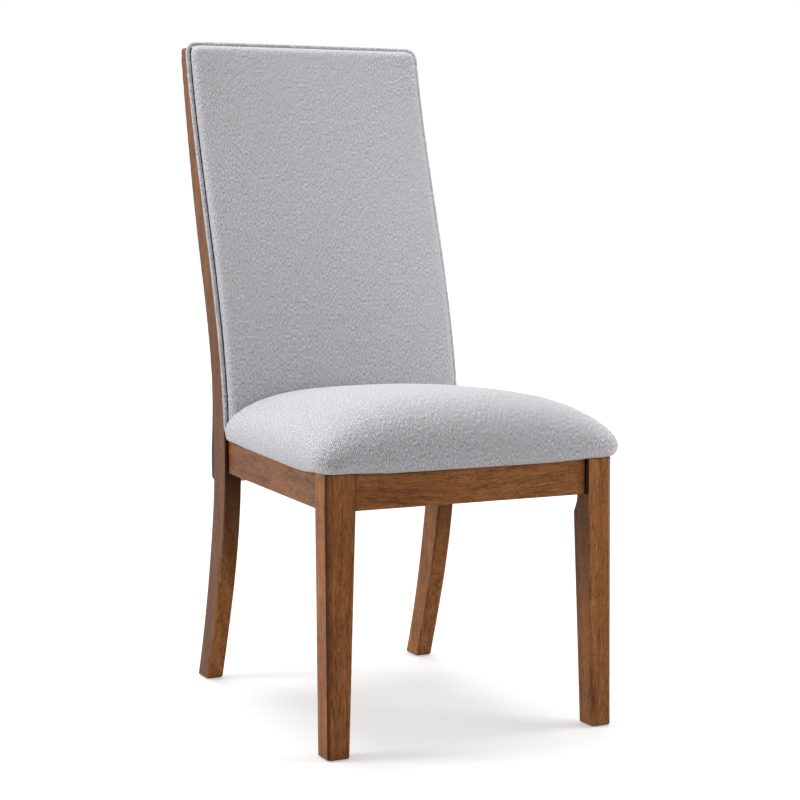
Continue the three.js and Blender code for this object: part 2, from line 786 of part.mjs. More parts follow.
// Piping: a round cord swept round the pad's outline on the curve of the back.
function welt() {
  const half = padOutlineHalf - weltRadius;
  const low = padOutlineFoot + weltRadius;
  const high = padOutlineTop - weltRadius;
  const path = [];
  const turns = 5;
  const corners = [[1, 1], [-1, 1], [-1, -1], [1, -1]];
  for (const [quarter, [right, up]] of corners.entries()) {
    const centreX = right * (half - weltCorner);
    const centreZ = (up > 0 ? high - weltCorner : low + weltCorner);
    for (let i = 0; i <= turns; i += 1) {
      const angle = ((quarter + i / turns) * Math.PI) / 2;
      const outward = plan(Math.cos(angle), Math.sin(angle));
      path.push({ x: centreX + weltCorner * outward.x, z: centreZ + weltCorner * outward.y, outward });
    }
    if (right === up) {
      continue;
    }
    const heights = curveHeights(low + weltCorner, high - weltCorner).slice(1, -1);
    for (const z of right > 0 ? heights : heights.reverse()) {
      path.push({ x: right * half, z, outward: plan(right, 0) });
    }
  }
  return loft(path.map(({ x, z, outward }) => {
    const middle = inFront(x, z, clearance + weltRadius);
    const normal = inFront(x, z, clearance + 2 * weltRadius).sub(middle).normalize();
    const upward = point(1, 0, 0).cross(normal).normalize();
    const rise = upward.z < 0 ? upward.negate() : upward;
    const out = point(outward.x, 0, 0).addScaledVector(rise, outward.y).normalize();
    return Array.from({ length: weltSides }, (_, k) => {
      const angle = ((k + 1 / 2) * 2 * Math.PI) / weltSides;
      const spot = middle.clone().addScaledVector(out, weltRadius * Math.cos(angle));
      return spot.addScaledVector(normal, weltRadius * Math.sin(angle));
    });
  }), true);
}

// Seat cushion: rings across the seat, from the front edge to the rear.

function seatHalf(y) {
  const straight = THREE.MathUtils.mapLinear(y, seatFront, seatRear, seatBulgeFront, seatBulgeRear);
  const front = seatCorner * (1 - quarterRound(y - seatFront, seatCorner));
  const rear = seatRearCorner * (1 - quarterRound(seatRear - y, seatRearCorner));
  return straight - front - rear / 2;
}

function seatTuck(y) {
  return THREE.MathUtils.mapLinear(y, seatFront, seatRear, seatTuckFront, seatTuckRear);
}

// How far the cover's lower edge hangs past the seat frame's top: more between the legs than at them.
function seatLip(x, y) {
  const level = (share) => Math.max(0, 1 - Math.abs(share) ** seatLipFlatShare);
  const front = y < frontRailSetback ? level(x / legInner) : 0;
  const side = level(THREE.MathUtils.mapLinear(y, frontLegDepth, frameDepth, -1, 1));
  const forward = THREE.MathUtils.mapLinear(y, frontLegDepth, frameDepth, 1, 0);
  return seatLipLeast + seatLipFront * front + seatLipSide * side * forward;
}

function seatCushionRing(y) {
  const half = seatHalf(y);
  const tuck = seatTuck(y);
  const fullest = coverLow + seatBulgeHeight;
  const crownY = seatFront + seatCrownRun;
  const before = Math.max(0, (crownY - y) / seatCrownRun);
  const after = Math.max(0, (y - crownY) / (seatRear - crownY));
  const frontRise = (1 - before ** crownFrontOuterShare) ** crownFrontInnerShare;
  const rise = seatCrown * frontRise * (1 - seatRearFallShare * after * after);
  const top = (x) => {
    const sideRise = (1 - Math.abs(x / half) ** crownSideOuterShare) ** crownSideInnerShare;
    return point(x, y, fullest + rise * sideRise);
  };
  const under = (x) => {
    const drop = quarterRound(half - Math.abs(x), tuck) * quarterRound(y - seatFront, seatTuckFront);
    return point(x, y, fullest - (seatBulgeHeight + seatLip(x, y)) * drop);
  };
  const right = seatColumnsShares.map((share) => share * half);
  const tucks = [...tuckStepsShares, 1].map((share) => half - share * tuck);
  tucks.push(...seatUnderShares.map((share) => share * (half - tuck)));
  return [
    point(half, y, fullest),
    ...right.map(top),
    top(0),
    ...right.map((x) => top(-x)).reverse(),
    point(-half, y, fullest),
    ...tucks.map((x) => under(-x)),
    under(0),
    ...tucks.map(under).reverse(),
  ];
}

function seatBoardOutline(inset) {
  const front = seatFront + seatTuckFront + inset;
  const rear = seatRear - inset;
  const halfAt = (y) => {
    const fullest = THREE.MathUtils.mapLinear(y, seatFront, seatRear, seatBulgeFront, seatBulgeRear);
    return fullest - seatTuck(y) - inset;
  };
  const corner = seatBoardCorner;
  return [
    plan(-halfAt(front) + corner, front), plan(halfAt(front) - corner, front),
    plan(halfAt(front + corner), front + corner), plan(halfAt(rear), rear),
    plan(-halfAt(rear), rear), plan(-halfAt(front + corner), front + corner),
  ];
}

// Space over the seat frame that the cushion leaves free, so that its lower edge hangs outside it.
function seatFrameTop() {
  const grown = (side) => [
    plan(side * (legInner - clearance), frontRailSetback - clearance),
    plan(side * (legInner - clearance), -clearance),
    plan(side * (frontSpan / 2 + clearance), -clearance),
    plan(side * (frontSpan / 2 + clearance), frontLegDepth + clearance),
    plan(side * (sideRailOuter(frontLegDepth) + clearance), frontLegDepth + clearance),
    plan(side * (sideRailOuter(frameDepth) + clearance), frameDepth),
  ];
  return upright([...grown(1), ...grown(-1).reverse()], railFoot, coverLow);
}

function seatCushion() {
  const rings = seatRowsShares.map((share) => (
    seatCushionRing(THREE.MathUtils.lerp(seatFront, seatRear, share))
  ));
  const hollowOutline = seatBoardOutline(seatBoardInset - clearance);
  const hollow = upright(hollowOutline, railTop - overrun, boardHigh + clearance);
  return cut(loft(rings), [seatFrameTop(), hollow, insidePad(clearance)]);
}

// Rails of the seat frame

function frontRail() {
  const half = legInner - clearance;
  const outline = [
    plan(-half, frontRailSetback), plan(half, frontRailSetback),
    plan(half, frontRailBack), plan(-half, frontRailBack),
  ];
  const holes = sides.flatMap(([name, side]) => [
    ...frontDowels(side).filter((dowel) => dowel.name.startsWith('front')).map(dowelHole),
    ...holesFor(frontScrews[name], ['front']),
  ]);
  return cut(upright(outline, railFoot, railTop), holes);
}

function sideRail(name, side) {
  const front = frontLegDepth + clearance;
  const rear = frameDepth - clearance;
  const outline = [
    plan(side * sideRailOuter(front), front), plan(side * sideRailOuter(rear), rear),
    plan(side * sideRailInner(rear), rear), plan(side * sideRailInner(front), front),
  ];
  const rail = join(upright(outline, railFoot, railTop), [sideTenon(side, 0)]);
  return cut(rail, [
    ...frontDowels(side).filter((dowel) => dowel.name.startsWith('side')).map(dowelHole),
    ...holesFor(frontScrews[name], ['side']),
    ...holesFor(rearScrews[name], ['side']),
  ]);
}

function rearRail() {
  const half = rearLegInner - clearance;
  const outline = [
    plan(-half, rearRailFront), plan(half, rearRailFront),
    plan(half, rearRailFront + railThickness), plan(-half, rearRailFront + railThickness),
  ];
  const rail = join(upright(outline, railFoot, railTop), sides.map(([, side]) => rearTenon(side, 0)));
  return cut(rail, sides.flatMap(([name]) => holesFor(rearScrews[name], ['rear'])));
}

// Hardware

function ring(inner, outer, height, sideCount) {
  const disc = new THREE.CylinderGeometry(outer, outer, height, sideCount).translate(0, height / 2, 0);
  const bore = new THREE.CylinderGeometry(inner, inner, height + 2 * overrun, roundSides);
  return cut(disc, [bore.translate(0, height / 2, 0)]);
}

function glide(x, y) {
  const top = glideHeight - clearance;
  const profile = [
    plan(0, 0), plan(glideRadius - edgeEase / 2, 0), plan(glideRadius, edgeEase / 2), plan(glideRadius, top),
    plan(glideStemRadius, top), plan(glideStemRadius, top + glideStemLength), plan(0, top + glideStemLength),
  ];
  return along(new THREE.LatheGeometry(profile, roundSides), point(x, y, 0), point(0, 0, 1));
}

function buildFrame() {
  for (const [name, side] of sides) {
    addPiece(`front_leg_${name}`, frontLeg(side), stainedWood);
    addPiece(`rear_leg_${name}`, rearLeg(side), stainedWood);
    addPiece(`side_rail_${name}`, sideRail(name, side), stainedWood);
    for (const dowel of frontDowels(side)) {
      addPiece(`dowel_${dowel.name}_${name}`, rod(dowel.start, dowel.end, dowelRadius), paleWood);
    }
  }
  addPiece('front_rail', frontRail(), stainedWood);
  addPiece('rear_rail', rearRail(), stainedWood);
  for (const rail of backRails) {
    const places = backScrewPlaces.filter(({ z }) => z > rail.low && z < rail.high);
    addPiece(rail.name, cut(backRail(rail), places.map(backScrewHole)), stainedWood);
  }
}

function buildCorners() {
  for (const [name, side] of sides) {
    const bolt = boltEnds(side);
    const { inward } = frontDiagonal(side);
    const boltHole = rod(...bolt, boltRadius + clearance);
    const front = upright(frontBlockOutline(side), blockFoot, railTop);
    const frontHoles = holesFor(frontScrews[name], ['seat', 'front', 'side']);
    addPiece(`corner_block_front_${name}`, cut(front, [boltHole, ...frontHoles]), paleWood);
    const rear = upright(rearBlockOutline(side), blockFoot, railTop);
    const rearHoles = holesFor(rearScrews[name], ['seat', 'rear', 'side']);
    addPiece(`corner_block_rear_${name}`, cut(rear, rearHoles), paleWood);
    addPiece(`hanger_bolt_${name}`, rod(...bolt, boltRadius), zincSteel);
    const washerSeat = diagonalPlace(side, blockThickness + 2 * clearance, 0, railMiddle);
    const washer = ring(boltRadius + clearance, washerRadius, washerThickness, roundSides);
    addPiece(`hanger_washer_${name}`, along(washer, washerSeat, inward), zincSteel);
    const nutSeat = washerSeat.clone().addScaledVector(inward, washerThickness + clearance);
    const nut = ring(boltRadius + clearance, nutRadius, nutHeight, nutSides);
    addPiece(`hanger_nut_${name}`, along(nut, nutSeat, inward), zincSteel);
    for (const [end, screws] of [['front', frontScrews[name]], ['rear', rearScrews[name]]]) {
      for (const [use, { head, way }] of Object.entries(screws)) {
        const label = use === 'seat' ? `seat_screw_${end}_${name}` : `block_screw_${end}_${name}_${use}`;
        addPiece(label, screw(head, way, screwLength(use)), zincSteel);
      }
    }
    for (const [end, place] of Object.entries(footMiddles)) {
      const { x, y } = place(side);
      addPiece(`foot_glide_${end}_${name}`, glide(x, y), darkPlastic);
    }
  }
}

function buildSeat() {
  const seatHoles = sides.flatMap(([name]) => [
    ...holesFor(frontScrews[name], ['seat']),
    ...holesFor(rearScrews[name], ['seat']),
  ]);
  const board = upright(seatBoardOutline(seatBoardInset), boardLow, boardHigh);
  const coverOutline = seatBoardOutline(seatBoardInset + dustCoverInset);
  const cover = upright(coverOutline, coverLow, coverLow + dustCoverThickness);
  addPiece('seat_board', cut(board, seatHoles), plywood);
  addPiece('seat_dust_cover', cut(cover, seatHoles), blackCloth);
  addPiece('seat_cushion', seatCushion(), greyFabric);
}

function buildBack() {
  const insideBoard = (grow) => bentBoard(inFront, padHalf, padFoot, padTop, grow);
  const outsideBoard = (grow) => bentBoard(behind, outsideHalf, outsideFoot, outsideTop, grow);
  addPiece('inside_back_board', cut(insideBoard(0), backScrewPlaces.map(backScrewHole)), plywood);
  addPiece('inside_back_pad', cut(insidePad(0), [insideBoard(clearance)]), greyFabric);
  addPiece('back_welt', welt(), greyFabric);
  addPiece('outside_back_board', outsideBoard(0), plywood);
  addPiece('outside_back_cover', cut(outsideBack(), [outsideBoard(clearance)]), greyFabric);
  for (const place of backScrewPlaces) {
    const { head, way, length } = backScrewLine(place);
    addPiece(place.name, screw(head, way, length), zincSteel);
  }
}

buildFrame();
buildCorners();
buildSeat();
buildBack();

// The origin lies on the floor, under the middle of the chair's footprint.
const extent = new THREE.Box3().setFromObject(chair);
chair.position.set(-(extent.min.x + extent.max.x) / 2, -(extent.min.y + extent.max.y) / 2, -extent.min.z);

export default chair;
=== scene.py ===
# %% [markdown]
# An upholstered dining chair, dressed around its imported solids.
# The frame brings every solid of the chair at its real size and place, in metres, +Z up, facing -Y.
# The wooden pieces keep their solids and only get a finish. The soft pieces are made new here.

# %% Load the frame
import math

import bpy
import numpy as np
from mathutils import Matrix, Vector


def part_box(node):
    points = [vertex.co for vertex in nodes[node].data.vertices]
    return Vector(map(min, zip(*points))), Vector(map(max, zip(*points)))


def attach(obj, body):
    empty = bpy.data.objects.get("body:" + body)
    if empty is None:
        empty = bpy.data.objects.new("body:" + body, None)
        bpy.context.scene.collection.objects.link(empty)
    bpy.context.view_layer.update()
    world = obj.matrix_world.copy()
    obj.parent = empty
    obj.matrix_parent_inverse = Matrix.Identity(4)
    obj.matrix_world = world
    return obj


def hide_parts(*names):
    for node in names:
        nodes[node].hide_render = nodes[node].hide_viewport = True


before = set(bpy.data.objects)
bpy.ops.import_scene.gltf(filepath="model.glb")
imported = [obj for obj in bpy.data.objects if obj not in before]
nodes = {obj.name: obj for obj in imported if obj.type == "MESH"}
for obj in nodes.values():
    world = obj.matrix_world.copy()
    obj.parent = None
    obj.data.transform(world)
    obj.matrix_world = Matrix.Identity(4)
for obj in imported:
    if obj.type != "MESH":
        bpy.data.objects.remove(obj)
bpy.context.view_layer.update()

MM = 0.001

# %% [markdown]
# The camera comes first, because every later look depends on it.
# Its place and its two angles were worked out from the chair's straight edges in the photograph.
# A long lens keeps the legs almost parallel. Its focal length was found in pixels of the square
# picture, and is turned here into the millimetres that Blender asks for.

# %% Camera
PICTURE_SIDE = 800
FOCAL_PIXELS = 2074
SENSOR_WIDTH = 36
CAMERA_PLACE = Vector((-1.4030, -2.9156, 0.7994))
CAMERA_TURN = 26.258  # degrees to the right of straight ahead
CAMERA_TILT = 5.749  # degrees down

camera_data = bpy.data.cameras.new("photo_view")
camera_data.sensor_width = SENSOR_WIDTH
camera_data.lens = FOCAL_PIXELS / PICTURE_SIDE * SENSOR_WIDTH
camera = bpy.data.objects.new("photo_view", camera_data)
camera.location = CAMERA_PLACE
camera.rotation_euler = (math.radians(90 - CAMERA_TILT), 0, -math.radians(CAMERA_TURN))
bpy.context.scene.collection.objects.link(camera)
bpy.context.scene.camera = camera
bpy.context.scene.view_settings.view_transform = "Standard"
print("lens:", round(camera_data.lens, 2), "mm")

# %% [markdown]
# Materials are built from nodes. The class Recipe keeps that readable: it makes a material, adds
# nodes and joins them, and has short ways to do a sum, blend colours and add a ramp, noise or bump.
# Colours are written as they look on screen and turned into the linear values that nodes use.


# %% Helpers for materials
def linear(red, green, blue):
    """An on-screen colour, 0 to 255, as the linear colour that a node takes."""
    def channel(value):
        share = value / 255
        return share / 12.92 if share <= 0.04045 else ((share + 0.055) / 1.055) ** 2.4
    return (channel(red), channel(green), channel(blue), 1)


class Recipe:
    """A material or world with its node tree, and short ways to add to it."""

    def __init__(self, name, kind=bpy.data.materials, shader="Principled BSDF"):
        self.material = kind.new(name)
        self.material.use_nodes = True
        self.tree = self.material.node_tree
        self.shader = self.tree.nodes[shader]

    def add(self, kind, settings=None, **inputs):
        node = self.tree.nodes.new(kind)
        for key, value in (settings or {}).items():
            setattr(node, key, value)
        for key, value in inputs.items():
            self.feed(node.inputs[key.replace("_", " ")], value)
        return node

    def feed(self, socket, value):
        if isinstance(value, bpy.types.NodeSocket):
            self.tree.links.new(value, socket)
        else:
            socket.default_value = value

    def sum_of(self, kind, operation, values):
        node = self.add(kind, {"operation": operation})
        for socket, value in zip(node.inputs, values):
            self.feed(socket, value)
        return node

    def maths(self, operation, *values):
        return self.sum_of("ShaderNodeMath", operation, values).outputs["Value"]

    def vector_maths(self, operation, *values):
        return self.sum_of("ShaderNodeVectorMath", operation, values).outputs["Vector"]

    def between(self, value, start, end, low=0.0, high=1.0, how="LINEAR"):
        """Goes from low to high while the value goes from start to end."""
        node = self.add("ShaderNodeMapRange", {"interpolation_type": how}, Value=value,
                        From_Min=start, From_Max=end, To_Min=low, To_Max=high)
        return node.outputs["Result"]

    def blend_colours(self, share, first, second):
        node = self.add("ShaderNodeMix", {"data_type": "RGBA"})
        share_socket, first_socket, second_socket = node.inputs[0], node.inputs[6], node.inputs[7]
        self.feed(share_socket, share)
        self.feed(first_socket, first)
        self.feed(second_socket, second)
        return node.outputs[2]

    def ramp(self, value, stops):
        node = self.add("ShaderNodeValToRGB", Fac=value)
        band = node.color_ramp
        while len(band.elements) < len(stops):
            band.elements.new(0.5)
        for element, (place, colour) in zip(band.elements, stops):
            element.position = place
            element.color = colour
        return node.outputs["Color"]

    def object_place(self):
        return self.add("ShaderNodeTexCoord").outputs["Object"]

    def noise(self, vector, size, detail=2.0, roughness=0.5):
        """Noise whose blobs are about that size across."""
        node = self.add("ShaderNodeTexNoise", Vector=vector, Scale=1 / size, Detail=detail,
                        Roughness=roughness)
        return node.outputs["Fac"]

    def bump(self, height, depth, strength=1.0):
        node = self.add("ShaderNodeBump", Height=height, Distance=depth, Strength=strength)
        self.feed(self.shader.inputs["Normal"], node.outputs["Normal"])

    def finish(self, **values):
        for key, value in values.items():
            self.feed(self.shader.inputs[key.replace("_", " ")], value)
        return self.material


print("mid grey on screen is", round(linear(128, 128, 128)[0], 3), "to a node")

# %% [markdown]
# The frame is a pale hardwood with a brown stain under a thin satin lacquer.
# Wood grain is noise that is drawn out along the board. So the coordinates are squeezed along the
# grain before any noise reads them, and first they are pushed about a little by a slow noise, as
# real grain never runs quite straight.


# %% Coordinates along the grain
GRAIN_SWAY = 30 * MM
SWAY_SCALE = 4


def grain_coordinates(recipe, axis):
    """Gives a function that squeezes the coordinates along the grain by any share."""
    place = recipe.object_place()
    drift = recipe.add("ShaderNodeTexNoise", Vector=place, Scale=SWAY_SCALE, Detail=1.0).outputs["Color"]
    centred = recipe.vector_maths("SUBTRACT", drift, (0.5, 0.5, 0.5))
    swayed = recipe.vector_maths("MULTIPLY_ADD", centred, (GRAIN_SWAY,) * 3, place)

    def squeezed(stretch):
        scale = [stretch if letter == axis else 1.0 for letter in "XYZ"]
        return recipe.add("ShaderNodeMapping", Vector=swayed, Scale=scale).outputs["Vector"]

    return squeezed


print("the grain sways by up to", round(GRAIN_SWAY / MM / 2), "mm")

# %% [markdown]
# On the real wood the stain sits darker in the open pores, which are short dashes along the grain.
# Long streaks give the figure, short ones the pores, and an even noise gives cloudy patches. A slow
# change between a red and a yellow brown keeps the colour alive.
# Corners get painted shade: Ambient Occlusion measures how shut in a spot is, and the colour is darkened
# there.
# Each board needs its own grain direction, so the recipe is a function of the axis.

# %% Stained wood
STAIN_DARK = linear(104, 58, 26)
STAIN_MIDDLE = linear(150, 96, 51)
STAIN_LIGHT = linear(176, 122, 72)
STAIN_RED = linear(160, 95, 48)
PORE_COLOUR = linear(56, 32, 17)
CORNER_SHADE_COLOUR = linear(30, 14, 5)
PAINTED_SHADE_COLOUR = linear(54, 25, 5)
FIGURE_STRETCH = 0.06  # size across the grain over size along it
DASH_STRETCH = 0.28
WARMTH_STRETCH = 0.3
FIGURE_SIZE = 15 * MM  # sizes across the grain
STREAK_SIZE = 2.6 * MM
DASH_SIZE = 1.9 * MM
PORE_SIZE = 0.8 * MM
WARMTH_SIZE = 22 * MM
CLOUD_SIZE = 55 * MM
MOST_RED = 0.4
MOST_CLOUD = 0.22
PORE_STRENGTH = 0.66
PORE_DEPTH = 0.12 * MM
CORNER_SHADE_REACH = 8 * MM
LACQUER_SHINE = 0.15


def wood_grain(name, axis, stain, shine=LACQUER_SHINE, painted_shade=None):
    """The optional function paints shade: it gets the recipe and gives the share of painted shade for
    each spot.
    """
    dark, middle, light, red, pore, corner = stain
    recipe = Recipe(name)
    squeezed = grain_coordinates(recipe, axis)
    figure = recipe.noise(squeezed(FIGURE_STRETCH), FIGURE_SIZE, 4.0, 0.6)
    streaks = recipe.noise(squeezed(2 * FIGURE_STRETCH), STREAK_SIZE, 3.0, 0.6)
    dashes = recipe.noise(squeezed(DASH_STRETCH), DASH_SIZE, 2.0, 0.55)
    pores = recipe.noise(squeezed(DASH_STRETCH), PORE_SIZE, 1.0)
    warmth = recipe.noise(squeezed(WARMTH_STRETCH), WARMTH_SIZE)
    clouds = recipe.noise(recipe.object_place(), CLOUD_SIZE, 3.0, 0.55)

    tone = recipe.maths("MULTIPLY_ADD", streaks, 0.5, recipe.maths("MULTIPLY", figure, 0.5))
    colour = recipe.ramp(tone, [(0.37, dark), (0.50, middle), (0.64, light)])
    colour = recipe.blend_colours(recipe.between(warmth, 0.44, 0.62, 0.0, MOST_RED), colour, red)
    colour = recipe.blend_colours(recipe.between(clouds, 0.36, 0.56, MOST_CLOUD, 0.0), colour, dark)
    fine_pores = recipe.maths("MULTIPLY", recipe.between(pores, 0.56, 0.70), 0.7)
    open_grain = recipe.maths("MAXIMUM", recipe.between(dashes, 0.54, 0.70), fine_pores)
    colour = recipe.blend_colours(recipe.maths("MULTIPLY", open_grain, PORE_STRENGTH), colour, pore)
    # painted shade, where the optional function gives a share
    if painted_shade:
        colour = recipe.blend_colours(painted_shade(recipe), colour, PAINTED_SHADE_COLOUR)
    # painted shade in corners: the colour goes to the stain's last colour where Ambient Occlusion finds
    # a spot shut in
    shut_in = recipe.add("ShaderNodeAmbientOcclusion", {"samples": 6}, Distance=CORNER_SHADE_REACH)
    colour = recipe.blend_colours(recipe.between(shut_in.outputs["AO"], 0.30, 0.80), corner, colour)

    raised = recipe.maths("SUBTRACT", recipe.maths("MULTIPLY", streaks, 0.3), open_grain)
    recipe.bump(raised, PORE_DEPTH, 0.4)
    cloudy_rough = recipe.maths("MULTIPLY_ADD", clouds, 0.12, 0.38)
    rough = recipe.maths("MULTIPLY_ADD", open_grain, 0.15, cloudy_rough)
    return recipe.finish(Base_Color=colour, Roughness=rough, Specular_IOR_Level=shine)


# the last colour of each stain is the painted shade used in corners
brown = (STAIN_DARK, STAIN_MIDDLE, STAIN_LIGHT, STAIN_RED, PORE_COLOUR, CORNER_SHADE_COLOUR)
wood_across = wood_grain("stained_wood_across", "X", brown)
print("stains, from dark to light:", [tuple(round(v, 3) for v in colour[:3]) for colour in brown[:3]])

# %% [markdown]
# The legs get painted shade, a near-black brown mixed into the colour. The narrow strips of leg that
# show beside the rails get so much of it that they look almost black. The inner faces of the front
# legs and the front faces of the rear legs get painted shadow towards the seat, and the rear legs'
# outer faces get painted shade, deeper from the top down to the seat. The front legs' chamfers are
# made darker with the same brown, most of all along their outer edge.
# These places are found by height and by the way the surface faces. X is mirrored first, so that
# one rule serves the left and the right leg.

# %% Painted shade on the legs
rail_low, rail_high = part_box("front_rail")
leg_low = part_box("front_leg_left")[0]
SHADE_IN_STRIPS = 0.94
DARKER_ON_CHAMFER = 0.44
DARKER_ON_CHAMFER_EDGE = 0.92
SHADE_ON_FRONT_LEGS = 0.55
SHADE_ON_REAR_FRONTS = 1.0
SIDE_SHADE_AT_TOP = 0.32
SIDE_SHADE_BELOW = 0.62
SIDE_SHADE_TOP_HEIGHT = 0.95
SIDE_SHADE_DEEP_HEIGHT = 0.50
UNDER_SEAT_STARTS = 0.4 * rail_low.z
CHAMFER_EDGE = (0.5 * MM, 4.5 * MM)  # from the leg's side to the end of the darkest strip
SQUARELY, MOSTLY, HALF, PARTLY = 0.8, 0.6, 0.5, 0.4  # how far a surface has to face a way


def leg_painted_shade(recipe):
    spot = recipe.add("ShaderNodeSeparateXYZ", Vector=recipe.object_place())
    normal = recipe.add("ShaderNodeNewGeometry").outputs["True Normal"]
    facing = recipe.add("ShaderNodeSeparateXYZ", Vector=normal)
    height = spot.outputs["Z"]

    def over(value, limit):
        return recipe.maths("GREATER_THAN", value, limit)

    def all_of(first, *others):
        for other in others:
            first = recipe.maths("MULTIPLY", first, other)
        return first

    outward = recipe.maths("MULTIPLY", recipe.maths("SIGN", spot.outputs["X"]), facing.outputs["X"])
    inward = recipe.maths("MULTIPLY", outward, -1)
    forward = recipe.maths("MULTIPLY", facing.outputs["Y"], -1)
    rear = over(spot.outputs["Y"], 0.0)
    front = recipe.maths("SUBTRACT", 1.0, rear)
    rear_fronts = all_of(rear, over(forward, MOSTLY))

    below_top = recipe.maths("LESS_THAN", height, rail_high.z + 1 * MM)
    beside_rail = recipe.maths("MAXIMUM", over(inward, HALF), rear_fronts)
    # painted shade in the strips of leg beside the rails
    strips = all_of(beside_rail, over(height, rail_low.z), below_top, SHADE_IN_STRIPS)

    from_side = recipe.maths("SUBTRACT", -leg_low.x, recipe.maths("ABSOLUTE", spot.outputs["X"]))
    edge_fade = recipe.between(from_side, *CHAMFER_EDGE, DARKER_ON_CHAMFER_EDGE, DARKER_ON_CHAMFER)
    # the chamfers are made darker, most of all along the outer edge
    chamfers = all_of(front, over(outward, PARTLY), over(forward, PARTLY), edge_fade)

    front_inner = all_of(front, over(inward, SQUARELY), SHADE_ON_FRONT_LEGS)
    turned_in = recipe.maths("MAXIMUM", front_inner, all_of(rear_fronts, SHADE_ON_REAR_FRONTS))
    # painted shadow of the seat on the leg faces that turn in, deeper towards the seat
    under_seat = all_of(turned_in, recipe.between(height, UNDER_SEAT_STARTS, rail_low.z))

    deepening = recipe.between(height, SIDE_SHADE_TOP_HEIGHT, SIDE_SHADE_DEEP_HEIGHT, SIDE_SHADE_AT_TOP, SIDE_SHADE_BELOW)
    # painted shade on the rear legs' outer faces, deeper towards the seat
    sides = all_of(rear, over(outward, SQUARELY), deepening)

    painted_shade = strips
    for area in (chamfers, under_seat, sides):
        painted_shade = recipe.maths("MAXIMUM", painted_shade, area)
    return painted_shade


LEG_SHINE = 0.12
# the legs take the painted shade above
wood_upright = wood_grain("stained_wood_upright", "Z", brown, LEG_SHINE, leg_painted_shade)
print("shaded strips from", round(rail_low.z, 3), "to", round(rail_high.z, 3), "m above the floor")

# %% [markdown]
# The side rails get a darker copy of the stain, as painted shade under the seat's overhang. The corner
# blocks and dowels were left raw.

# %% Darker rails and raw wood
# a darker copy of the stain: painted shade on the side rails
brown_painted_shade = (linear(88, 50, 24), linear(128, 81, 43), linear(152, 102, 60), linear(142, 80, 40),
              PORE_COLOUR, CORNER_SHADE_COLOUR)
wood_deep = wood_grain("stained_wood_deep", "Y", brown_painted_shade, 0.1)
raw = (linear(176, 138, 94), linear(203, 168, 122), linear(222, 192, 150), linear(208, 160, 116),
       linear(150, 112, 72), linear(120, 86, 54))
raw_across = wood_grain("raw_wood_across", "X", raw)
raw_deep = wood_grain("raw_wood_deep", "Y", raw)
print("wood finishes:", [m.name for m in (wood_upright, wood_across, wood_deep, raw_across, raw_deep)])

# %% [markdown]
# Metal and plastic are small here: zinc plated screws, bolts and nuts, and the dark glides under
# the feet. Zinc is a metal with fine scratches, which show as changes in roughness.


# %% Zinc and plastic
def zinc(name):
    recipe = Recipe(name)
    place = recipe.object_place()
    scratches = recipe.noise(place, 0.4 * MM, 4.0, 0.7)
    spangle = recipe.noise(place, 2.5 * MM, 1.0)
    tone = recipe.ramp(spangle, [(0.35, linear(168, 170, 172)), (0.65, linear(196, 198, 200))])
    recipe.bump(scratches, 0.02 * MM, 0.4)
    rough = recipe.maths("MULTIPLY_ADD", scratches, 0.25, 0.22)
    return recipe.finish(Base_Color=tone, Roughness=rough, Metallic=1.0)


def moulded_plastic(name):
    recipe = Recipe(name)
    place = recipe.object_place()
    grain = recipe.noise(place, 0.5 * MM)
    scuffs = recipe.noise(place, 3 * MM, 3.0, 0.6)
    tone = recipe.ramp(scuffs, [(0.4, linear(38, 33, 30)), (0.7, linear(58, 52, 47))])
    recipe.bump(grain, 0.04 * MM, 0.5)
    rough = recipe.maths("MULTIPLY_ADD", grain, 0.2, 0.5)
    return recipe.finish(Base_Color=tone, Roughness=rough)


zinc_steel = zinc("zinc_steel")
dark_plastic = moulded_plastic("dark_plastic")
print("hardware finishes:", zinc_steel.name, dark_plastic.name)

# %% [markdown]
# The cover is a light grey heathered twill. Threads run both ways, and each upright thread passes
# over two cross threads and under two, one step higher in the next thread. That draws fine ribs
# which climb to the right, about 3 mm apart. The yarn is spun from dark, grey and pale lilac
# fibres, so short upright flecks show along it, and the tone drifts slowly over the cloth.
# The rib is a faint sine wave across the threads, and noise squeezed upright gives the flecks.
# Single threads are finer than a pixel from two metres away, so they are left to the bump.
# The pattern reads the cover's own UV map, laid out in metres, so it bends with the cloth.
# The outside back has a dark tape along its two upright edges, found by the way they face.

# %% Grey fabric
WARP_PITCH = 1.25 * MM  # from one upright thread to the next
WEFT_PITCH = 0.85 * MM  # from one cross thread to the next
RIB_THREADS = 4  # threads from one rib to the next
FLECK_WIDTH = 1.8 * MM
FLECK_HEIGHT = 4.2 * MM
RIB_CONTRAST = 0.12
FLECK_CONTRAST = 0.72
YARN_DARK = linear(96, 101, 98)
YARN_MIDDLE = linear(183, 182, 185)
YARN_LIGHT = linear(250, 246, 254)
CLOTH_COOL = linear(174, 182, 177)
CLOTH_WARM = linear(200, 190, 202)
CLOTH_CAST = 0.2  # share of the cool and warm drift
CAST_SIZE = 20 * MM
TAPE_COLOUR = linear(72, 70, 62)
TAPE_STARTS, TAPE_FULL = 0.55, 0.70  # how far the cloth faces sideways


